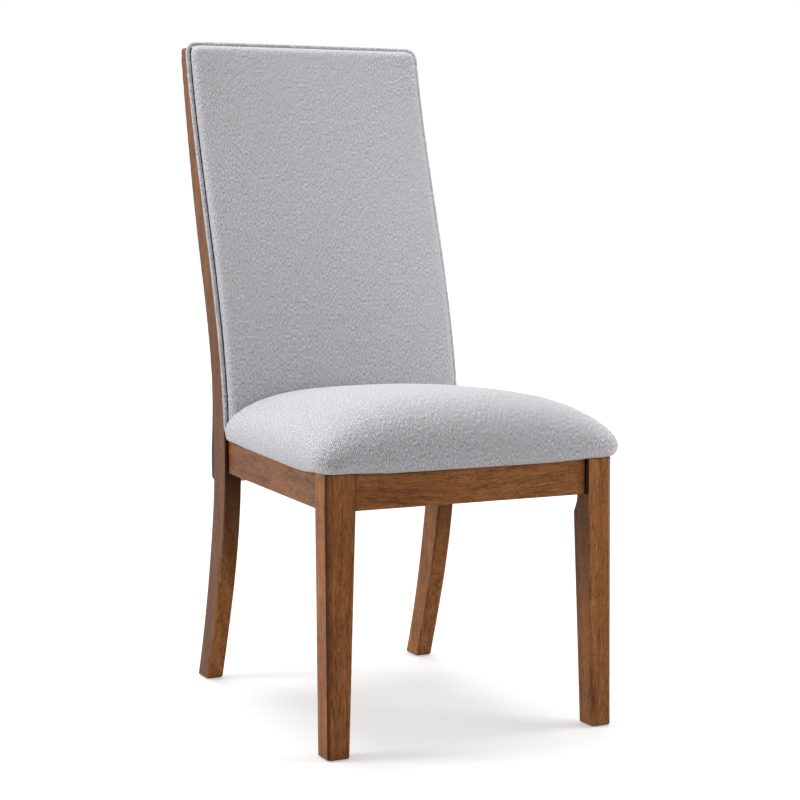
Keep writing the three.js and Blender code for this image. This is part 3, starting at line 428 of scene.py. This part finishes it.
def twill(name, coordinates="UV", taped=False):
    recipe = Recipe(name)
    cloth = recipe.add("ShaderNodeTexCoord").outputs[coordinates]
    split = recipe.add("ShaderNodeSeparateXYZ", Vector=cloth)
    up_axis = "Y" if coordinates == "UV" else "Z"
    across = recipe.maths("MULTIPLY", split.outputs["X"], 1 / WARP_PITCH)
    up = recipe.maths("MULTIPLY", split.outputs[up_axis], 1 / WEFT_PITCH)
    climb = recipe.maths("MULTIPLY", recipe.maths("SUBTRACT", across, up), math.tau / RIB_THREADS)
    rib = recipe.maths("SINE", climb)
    squeeze = [FLECK_WIDTH / FLECK_HEIGHT if letter == up_axis else 1.0 for letter in "XYZ"]
    squeezed = recipe.add("ShaderNodeMapping", Vector=cloth, Scale=squeeze).outputs["Vector"]
    flecks = recipe.noise(squeezed, FLECK_WIDTH, 0.0)
    spun = recipe.maths("MULTIPLY_ADD", flecks, FLECK_CONTRAST, 0.5 - FLECK_CONTRAST / 2)
    tone = recipe.maths("MULTIPLY_ADD", rib, RIB_CONTRAST, spun)
    yarn = recipe.ramp(tone, [(0.15, YARN_DARK), (0.50, YARN_MIDDLE), (0.85, YARN_LIGHT)])
    drift = recipe.noise(cloth, CAST_SIZE, 2.0, 0.6)
    cast = recipe.ramp(drift, [(0.40, CLOTH_COOL), (0.60, CLOTH_WARM)])
    colour = recipe.blend_colours(CLOTH_CAST, yarn, cast)
    if taped:
        normal = recipe.add("ShaderNodeNewGeometry").outputs["Normal"]
        sideways = recipe.add("ShaderNodeSeparateXYZ", Vector=normal).outputs["X"]
        on_edge = recipe.between(recipe.maths("ABSOLUTE", sideways), TAPE_STARTS, TAPE_FULL)
        colour = recipe.blend_colours(on_edge, colour, TAPE_COLOUR)

    def thread_height(position):
        half_turn = recipe.maths("MULTIPLY", recipe.maths("FRACT", position), math.pi)
        return recipe.maths("SINE", half_turn)

    threads = recipe.maths("ADD", thread_height(across), thread_height(up))
    ribs = recipe.maths("MULTIPLY_ADD", rib, 0.3, flecks)
    recipe.bump(recipe.maths("MULTIPLY_ADD", threads, 0.12, ribs), 0.25 * MM, 0.3)
    return recipe.finish(Base_Color=colour, Roughness=0.95, Sheen_Weight=0.08, Sheen_Roughness=0.5,
                         Specular_IOR_Level=0.15)


grey_fabric = twill("grey_fabric")
cord_fabric = twill("grey_fabric_cord", "Object")
taped_fabric = twill("grey_fabric_taped", taped=True)
print("threads to the centimetre:", round(10 * MM / WARP_PITCH), "by", round(10 * MM / WEFT_PITCH))

# %% [markdown]
# Under the seat there is a thin black dust cover of felted fibres.

# %% Black cloth
def felted(name):
    recipe = Recipe(name)
    fibres = recipe.noise(recipe.object_place(), 0.8 * MM, 4.0, 0.7)
    tone = recipe.ramp(fibres, [(0.35, linear(22, 22, 24)), (0.65, linear(48, 48, 52))])
    recipe.bump(fibres, 0.1 * MM, 0.5)
    return recipe.finish(Base_Color=tone, Roughness=0.95, Specular_IOR_Level=0.15)


black_cloth = felted("black_cloth")
print("made:", black_cloth.name)

# %% [markdown]
# Plywood shows thin layers on its edges: bands across the thickness, light and dark by turns.

# %% Plywood
PLY_LAYER = 1.6 * MM
PLY_LIGHT = linear(214, 182, 138)
PLY_MIDDLE = linear(190, 154, 108)
PLY_DARK = linear(150, 115, 74)
PLY_STRETCH = 0.05


def layered_board(name):
    recipe = Recipe(name)
    place = recipe.object_place()
    height = recipe.add("ShaderNodeSeparateXYZ", Vector=place).outputs["Z"]
    bands = recipe.maths("SINE", recipe.maths("MULTIPLY", height, math.pi / PLY_LAYER))
    drawn_out = recipe.add("ShaderNodeMapping", Vector=place, Scale=(PLY_STRETCH, 1, 1))
    streaks = recipe.noise(drawn_out.outputs["Vector"], 2.5 * MM, 3.0)
    tone = recipe.maths("MULTIPLY_ADD", bands, 0.12, streaks)
    colour = recipe.ramp(tone, [(0.3, PLY_DARK), (0.5, PLY_MIDDLE), (0.75, PLY_LIGHT)])
    recipe.bump(streaks, 0.1 * MM, 0.4)
    return recipe.finish(Base_Color=colour, Roughness=0.75)


plywood = layered_board("plywood")
print("made:", plywood.name, "with layers of", PLY_LAYER / MM, "mm")

# %% [markdown]
# The solids arrive as loose triangles with flat shading. Their meshes are left alone: a small
# geometry nodes modifier merges the corners and smooths the shading, except over sharp edges, and a
# Weighted Normal modifier keeps the large faces flat while the eased edges look round.


# %% Smooth shading for the solids
MERGE_DISTANCE = 0.01 * MM
SHARP_ANGLE = math.radians(30)


def shading_nodes(name):
    tree = bpy.data.node_groups.new(name, "GeometryNodeTree")
    tree.interface.new_socket("Geometry", in_out="INPUT", socket_type="NodeSocketGeometry")
    tree.interface.new_socket("Geometry", in_out="OUTPUT", socket_type="NodeSocketGeometry")

    def step(kind, domain=None, **inputs):
        node = tree.nodes.new(kind)
        if domain:
            node.domain = domain
        for key, value in inputs.items():
            node.inputs[key.replace("_", " ")].default_value = value
        return node

    sharpen = step("GeometryNodeSetShadeSmooth", "EDGE", Shade_Smooth=False)
    chain = [
        step("NodeGroupInput"),
        step("GeometryNodeMergeByDistance", Distance=MERGE_DISTANCE),
        step("GeometryNodeRemoveAttribute", Name="custom_normal"),
        step("GeometryNodeSetShadeSmooth", "FACE", Shade_Smooth=True),
        step("GeometryNodeSetShadeSmooth", "EDGE", Shade_Smooth=True),
        sharpen,
        step("NodeGroupOutput"),
    ]
    for earlier, later in zip(chain, chain[1:]):
        tree.links.new(earlier.outputs[0], later.inputs[0])
    angle = step("GeometryNodeInputMeshEdgeAngle")
    compare = step("FunctionNodeCompare")
    compare.operation = "GREATER_THAN"
    compare.inputs[1].default_value = SHARP_ANGLE
    tree.links.new(angle.outputs["Unsigned Angle"], compare.inputs[0])
    tree.links.new(compare.outputs[0], sharpen.inputs["Selection"])
    return tree


smooth_solid = shading_nodes("smooth_solid")
print("edges count as sharp past", round(math.degrees(SHARP_ANGLE)), "degrees")

# %% [markdown]
# Every solid then gets its finish from a table that is read by the start of the solid's name. The
# wood that shows was sanded, so a Bevel modifier eases its edges a little.

# %% Finishes of the solids
EASED_EDGE = 0.8 * MM
FLAT_FACE_WEIGHT = 80


def dress_solid(name, material, eased):
    """Gives a solid of the frame its material, eased edges and smooth shading."""
    solid = nodes[name]
    solid.data.materials.clear()
    solid.data.materials.append(material)
    merged = solid.modifiers.new("smooth_solid", "NODES")
    merged.node_group = smooth_solid
    if eased:
        ease = solid.modifiers.new("eased_edges", "BEVEL")
        ease.width = EASED_EDGE
        ease.segments = 2
        ease.limit_method = "ANGLE"
        ease.angle_limit = SHARP_ANGLE
    flats = solid.modifiers.new("flat_faces", "WEIGHTED_NORMAL")
    flats.keep_sharp = True
    flats.weight = FLAT_FACE_WEIGHT


finishes = {
    "front_leg": wood_upright, "rear_leg": wood_upright,
    "front_rail": wood_across, "rear_rail": wood_across, "side_rail": wood_deep,
    "crest_rail": wood_across, "middle_back_rail": wood_across, "lower_back_rail": wood_across,
    "dowel_front": raw_across, "dowel_side": raw_deep, "corner_block": raw_across,
    "seat_board": plywood, "inside_back_board": plywood, "outside_back_board": plywood,
    "hanger": zinc_steel, "seat_screw": zinc_steel, "block_screw": zinc_steel, "back_screw": zinc_steel,
    "foot_glide": dark_plastic,
}
sanded = ("front_leg", "rear_leg", "front_rail", "side_rail")
for start, material in finishes.items():
    for name in nodes:
        if name.startswith(start):
            dress_solid(name, material, start in sanded)
print("dressed solids:", sum(len(n.modifiers) > 0 for n in nodes.values()))

# %% [markdown]
# The soft pieces start as copies of their solids. A voxel remesh gives each one even faces, and the
# steps that it leaves are smoothed. Smoothing makes a shape smaller, so a Shrinkwrap modifier moves
# it out to its solid's surface again. One subdivision at the end makes the outline fine.


# %% Helpers for soft pieces
COVER_PROUD = 0.3 * MM


def select_only(piece):
    bpy.ops.object.select_all(action="DESELECT")
    piece.select_set(True)
    bpy.context.view_layer.objects.active = piece


def select_faces(piece, wanted):
    """Enters edit mode with only the faces selected that pass the test."""
    select_only(piece)
    bpy.ops.object.mode_set(mode="EDIT")
    bpy.ops.mesh.select_mode(type="FACE")
    bpy.ops.mesh.select_all(action="DESELECT")
    bpy.ops.object.mode_set(mode="OBJECT")
    for face in piece.data.polygons:
        face.select = bool(wanted(face))
    bpy.ops.object.mode_set(mode="EDIT")


def copy_of_solid(node, name):
    """A merged copy of a solid, as a new piece."""
    piece = bpy.data.objects.new(name, nodes[node].data.copy())
    bpy.context.scene.collection.objects.link(piece)
    piece.data.name = name
    select_only(piece)
    bpy.ops.mesh.customdata_custom_splitnormals_clear()
    bpy.ops.object.mode_set(mode="EDIT")
    bpy.ops.mesh.select_all(action="SELECT")
    bpy.ops.mesh.remove_doubles(threshold=MERGE_DISTANCE)
    bpy.ops.mesh.normals_make_consistent(inside=False)
    bpy.ops.object.mode_set(mode="OBJECT")
    return piece


def places(piece):
    values = np.empty(len(piece.data.vertices) * 3)
    piece.data.vertices.foreach_get("co", values)
    return values.reshape(-1, 3)


def put_places(piece, values):
    piece.data.vertices.foreach_set("co", values.ravel())
    piece.data.update()


def apply_modifier(piece, name):
    select_only(piece)
    bpy.ops.object.modifier_apply(modifier=name)


def remesh(piece, voxel):
    modifier = piece.modifiers.new("even_faces", "REMESH")
    modifier.mode = "VOXEL"
    modifier.voxel_size = voxel
    apply_modifier(piece, modifier.name)


def relax(piece, rounds):
    modifier = piece.modifiers.new("relax", "SMOOTH")
    modifier.iterations = rounds
    apply_modifier(piece, modifier.name)


def fill_out(piece, node):
    """Moves what lies inside the solid out past its surface, so that no smoothing shrinks the piece."""
    modifier = piece.modifiers.new("fill_out", "SHRINKWRAP")
    modifier.target = nodes[node]
    modifier.wrap_method = "NEAREST_SURFACEPOINT"
    modifier.wrap_mode = "OUTSIDE_SURFACE"
    modifier.offset = COVER_PROUD
    apply_modifier(piece, modifier.name)


def refine(piece):
    modifier = piece.modifiers.new("fine", "SUBSURF")
    modifier.levels = 1
    modifier.render_levels = 1
    apply_modifier(piece, modifier.name)
    piece.data.shade_smooth()


print("covers stand", round(COVER_PROUD / MM, 1), "mm proud of their solids")

# %% [markdown]
# Blender's Cloth is a net of springs. With pressure on it goes up like a balloon, and with gravity
# off it doesn't sag. A vertex group pins what is glued to the board. The sideways springs are kept
# firm and the bending ones soft, as in a woven cover over foam. After the last frame each vertex is
# drawn back, so that none has moved past the cap.


# %% Swelling
STUFFING = {
    "quality": 2, "mass": 0.3, "tension_stiffness": 30, "compression_stiffness": 30,
    "shear_stiffness": 15, "bending_stiffness": 0.5, "use_pressure": True,
    "uniform_pressure_force": 4.0,
}
SWELLING_FRAMES = 20
NO_LENGTH = 1e-9


def swell(piece, held, cap):
    """Blows the piece up from inside. held is true for each vertex that stays; none moves past cap."""
    group = piece.vertex_groups.new(name="held")
    group.add([int(i) for i in np.flatnonzero(held)], 1.0, "REPLACE")
    before = places(piece)
    cloth = piece.modifiers.new("stuffing", "CLOTH")
    for key, value in STUFFING.items():
        setattr(cloth.settings, key, value)
    cloth.settings.vertex_group_mass = group.name
    cloth.settings.effector_weights.gravity = 0
    cloth.collision_settings.use_collision = False
    for step in range(1, SWELLING_FRAMES + 1):
        bpy.context.scene.frame_set(step)
    apply_modifier(piece, cloth.name)
    bpy.context.scene.frame_set(1)
    moved = places(piece) - before
    length = np.linalg.norm(moved, axis=1, keepdims=True)
    limited = cap * np.tanh(length / cap)
    put_places(piece, before + moved * limited / np.maximum(length, NO_LENGTH))
    print(piece.name, "swelled by up to", round(float(limited.max()) / MM, 1), "mm")


# %% [markdown]
# The weave needs a map of the cover. Unwrap flattens the cover, and its Minimum Stretch method keeps
# the threads nearly as close at the corners as on the flat. It gives the map any size and turn, so
# the map is then scaled until its area is the cover's own, and turned until its first axis runs
# across the chair. One unit of the map is then one metre of cloth.


# %% Lay the cloth's map
def lay_cloth(piece, covered):
    """Unwraps the faces that pass the test, in metres, with the map's first axis across the chair."""
    mesh = piece.data
    mesh.uv_layers.new(name="cloth")
    select_faces(piece, covered)
    bpy.ops.uv.unwrap(method="MINIMUM_STRETCH", iterations=4, margin=0)
    bpy.ops.object.mode_set(mode="OBJECT")
    chosen = [face for face in mesh.polygons if face.select]
    area = sum(face.area for face in chosen)
    uv = np.empty(len(mesh.loops) * 2)
    mesh.uv_layers.active.data.foreach_get("uv", uv)
    uv = uv.reshape(-1, 2)
    flat_area = 0.0
    for face in chosen:
        here = uv[list(face.loop_indices)]
        following = np.roll(here, -1, axis=0)
        flat_area += abs(float((here[:, 0] * following[:, 1] - here[:, 1] * following[:, 0]).sum())) / 2
    scale = math.sqrt(area / flat_area)

    loops = np.array([i for face in chosen for i in face.loop_indices])
    vertex = np.array([mesh.loops[int(i)].vertex_index for i in loops])
    flat = uv[loops] - uv[loops].mean(axis=0)
    across_chair = places(piece)[vertex][:, 0]
    slope = np.linalg.lstsq(flat, across_chair - across_chair.mean(), rcond=None)[0]
    turn = math.atan2(slope[1], slope[0])
    cosine, sine = math.cos(turn), math.sin(turn)
    uv[:] = 0
    uv[loops] = scale * flat @ np.array([[cosine, -sine], [sine, cosine]])
    mesh.uv_layers.active.data.foreach_set("uv", uv.ravel())
    print(piece.name, "cover", round(area, 3), "square metres, map scale", round(scale, 3))


def finish_soft(piece, node, material=grey_fabric):
    piece.data.materials.clear()
    piece.data.materials.append(material)
    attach(piece, "root")
    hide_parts(node)
    print(piece.name, "faces:", len(piece.data.polygons))


# %% [markdown]
# The seat is a thick foam block on a plywood board, covered in one piece of cloth that is drawn
# down and tacked under the board, so it crowns in the middle and tucks in above the rails.
# Its underside and the strip against the back are held while the rest swells.

# %% Seat cushion
SEAT_VOXEL = 5 * MM
SEAT_CAP = 2.5 * MM
HELD_BELOW = 4 * MM
HELD_AT_BACK = 14 * MM
seat_low, seat_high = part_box("seat_cushion")

seat_cover = copy_of_solid("seat_cushion", "seat_cover")
remesh(seat_cover, SEAT_VOXEL)
relax(seat_cover, 3)
spots = places(seat_cover)
underside = spots[:, 2] < seat_low.z + HELD_BELOW
against_back = spots[:, 1] > seat_high.y - HELD_AT_BACK
swell(seat_cover, underside | against_back, SEAT_CAP)
fill_out(seat_cover, "seat_cushion")
relax(seat_cover, 1)
lay_cloth(seat_cover, lambda face: face.normal.z > -0.9)
refine(seat_cover)
finish_soft(seat_cover, "seat_cushion")

# %% [markdown]
# The inside back is a thinner pad on a bent board. Its edges roll down to the piping, and its face
# has only a slight crown, so it is swelled less than the seat. All that doesn't face forward is held.

# %% Inside back
PAD_VOXEL = 5.5 * MM
PAD_CAP = 1.5 * MM

back_pad = copy_of_solid("inside_back_pad", "back_pad_cover")
remesh(back_pad, PAD_VOXEL)
relax(back_pad, 3)
normals = np.array([vertex.normal for vertex in back_pad.data.vertices])
swell(back_pad, normals[:, 1] > -0.3, PAD_CAP)
fill_out(back_pad, "inside_back_pad")
relax(back_pad, 1)
lay_cloth(back_pad, lambda face: face.normal.y < 0.3)
refine(back_pad)
finish_soft(back_pad, "inside_back_pad")

# %% [markdown]
# The outside back is a thin padded panel over a board, from the top of the stiles down behind the
# rear rail.

# %% Outside back
outside_cover = copy_of_solid("outside_back_cover", "outside_cover")
remesh(outside_cover, PAD_VOXEL)
relax(outside_cover, 2)
fill_out(outside_cover, "outside_back_cover")
relax(outside_cover, 1)
lay_cloth(outside_cover, lambda face: face.normal.y > -0.3)
refine(outside_cover)
finish_soft(outside_cover, "outside_back_cover", taped_fabric)

# %% [markdown]
# The piping is a cord in its own strip of cloth, sewn round the edge of the inside back.
# Its solid has only eight sides, so its triangles are turned back into four-sided faces, and a
# Subdivision Surface rounds it. That draws the cord in, and Displace puts its thickness back.

# %% Piping
CORD_ROUNDS = 2
CORD_THICKENED = 0.25 * MM

piping = copy_of_solid("back_welt", "back_piping")
bpy.ops.object.mode_set(mode="EDIT")
bpy.ops.mesh.select_all(action="SELECT")
bpy.ops.mesh.tris_convert_to_quads()
bpy.ops.object.mode_set(mode="OBJECT")
rounding = piping.modifiers.new("round", "SUBSURF")
rounding.levels = CORD_ROUNDS
rounding.render_levels = CORD_ROUNDS
apply_modifier(piping, "round")
thicken = piping.modifiers.new("thicken", "DISPLACE")
thicken.mid_level = 0
thicken.strength = CORD_THICKENED
apply_modifier(piping, "thicken")
piping.data.shade_smooth()
piping.data.materials.clear()
piping.data.materials.append(cord_fabric)
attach(piping, "root")
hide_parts("back_welt")
print(piping.name, "faces:", len(piping.data.polygons))

# %% [markdown]
# The dust cover is one sheet of black cloth, stretched under the seat board and tacked round its
# edge, so it hangs a few millimetres in the middle. Its solid is flat, so only its lower side is
# kept. Cuts both ways give it enough points to bend, and each point is then let down by the product
# of two arches. Solidify gives the cloth its thickness upwards, where the board is.

# %% Dust cover
CLOTH_SAG = 3.5 * MM
CLOTH_CUTS = 24
CLOTH_THICKNESS = 0.4 * MM

dust_low, dust_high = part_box("seat_dust_cover")
dust_cover = copy_of_solid("seat_dust_cover", "dust_cover_cloth")
select_faces(dust_cover, lambda face: face.normal.z > -0.9)
bpy.ops.mesh.delete(type="FACE")
for axis in range(2):
    along = Vector((axis == 0, axis == 1, 0))
    for number in range(1, CLOTH_CUTS):
        spot = dust_low.lerp(dust_high, number / CLOTH_CUTS)
        bpy.ops.mesh.select_all(action="SELECT")
        bpy.ops.mesh.bisect(plane_co=spot, plane_no=along)
bpy.ops.object.mode_set(mode="OBJECT")
spots = places(dust_cover)
share = (spots - np.array(dust_low)) / np.array(dust_high - dust_low)
arch = 4 * share * (1 - share)
spots[:, 2] -= CLOTH_SAG * arch[:, 0] * arch[:, 1]
put_places(dust_cover, spots)
wall = dust_cover.modifiers.new("cloth", "SOLIDIFY")
wall.thickness = CLOTH_THICKNESS
apply_modifier(dust_cover, wall.name)
dust_cover.data.shade_smooth()
dust_cover.data.materials.clear()
dust_cover.data.materials.append(black_cloth)
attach(dust_cover, "root")
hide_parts("seat_dust_cover")

# %% [markdown]
# The floor is plain and pale. Its grey gets a glow that only the camera and shiny surfaces see.
# Together they come out white where the lamps reach, and the chair's shadow is left as a soft, pale
# grey. The glow grows away from the chair, where the lamps reach less.

# %% Floor
FLOOR_SIDE = 30
FLOOR_GREY = 0.75
FLOOR_GLOW = 0.38
FLOOR_GLOW_FAR = 1.0
FLOOR_GLOW_STARTS = 0.9
FLOOR_GLOW_FULL = 3.5
WHITE = (1, 1, 1, 1)


def white_rays(recipe):
    """One for rays from the camera, off a shiny surface or through a clear one, none for the rest."""
    rays = recipe.add("ShaderNodeLightPath")
    seen = recipe.maths("MAXIMUM", rays.outputs["Is Camera Ray"], rays.outputs["Is Glossy Ray"])
    return recipe.maths("MAXIMUM", seen, rays.outputs["Is Transmission Ray"])


def glowing_floor(name):
    recipe = Recipe(name)
    measure = recipe.sum_of("ShaderNodeVectorMath", "LENGTH", [recipe.object_place()])
    glow_here = recipe.between(measure.outputs["Value"], FLOOR_GLOW_STARTS, FLOOR_GLOW_FULL,
                               FLOOR_GLOW, FLOOR_GLOW_FAR, "SMOOTHSTEP")
    glow_seen = recipe.maths("MULTIPLY", white_rays(recipe), glow_here)
    glow = recipe.add("ShaderNodeEmission", Color=WHITE, Strength=glow_seen)
    both = recipe.add("ShaderNodeAddShader")
    recipe.feed(both.inputs[0], recipe.shader.outputs[0])
    recipe.feed(both.inputs[1], glow.outputs[0])
    recipe.feed(recipe.tree.nodes["Material Output"].inputs["Surface"], both.outputs[0])
    return recipe.finish(Base_Color=(FLOOR_GREY,) * 3 + (1,), Roughness=0.9, Specular_IOR_Level=0.0)


bpy.ops.object.select_all(action="DESELECT")
bpy.ops.mesh.primitive_plane_add(size=FLOOR_SIDE, location=(0, 0, 0))
floor = bpy.context.object
floor.name = "floor"
floor.data.materials.append(glowing_floor("pale_floor"))
print("floor:", FLOOR_SIDE, "m a side")

# %% [markdown]
# The world is the light that comes from all round. It is weak, so that the lamps still model the
# chair, and it looks white to the camera and to shiny surfaces.

# %% World
WORLD_LIGHT = 0.255

sky = Recipe("studio", bpy.data.worlds, "Background")
sky_level = sky.between(white_rays(sky), 0.0, 1.0, WORLD_LIGHT, 1.0)
bpy.context.scene.world = sky.finish(Color=WHITE, Strength=sky_level)
print("light from all round:", WORLD_LIGHT)

# %% [markdown]
# Three large lamps, as in a studio. The left one stands a little behind the chair's middle, so it
# lights the left sides and not the front. The right one is close by, in front of the chair, so the
# inside back gets lighter towards the right. The widest one hangs above and a little behind, so it
# lights the seat far more than the back.


# %% Lamps
def soft_lamp(name, place, aim_height, width, height, watts):
    data = bpy.data.lights.new(name, "AREA")
    data.shape = "RECTANGLE"
    data.size = width
    data.size_y = height
    data.energy = watts
    lamp = bpy.data.objects.new(name, data)
    lamp.location = place
    aim = Vector((0, 0, aim_height))
    lamp.rotation_euler = (aim - Vector(place)).to_track_quat("-Z", "Y").to_euler()
    bpy.context.scene.collection.objects.link(lamp)
    print(name, "lights with", watts, "watts")


soft_lamp("left_window", (-2.38, 0.56, 1.3), aim_height=0.6, width=1.0, height=1.6, watts=38)
soft_lamp("overhead", (0, 0.46, 3.0), aim_height=0.5, width=2.0, height=2.0, watts=72)
soft_lamp("right_window", (1.3, -0.7, 0.85), aim_height=0.6, width=1.0, height=1.2, watts=13.5)
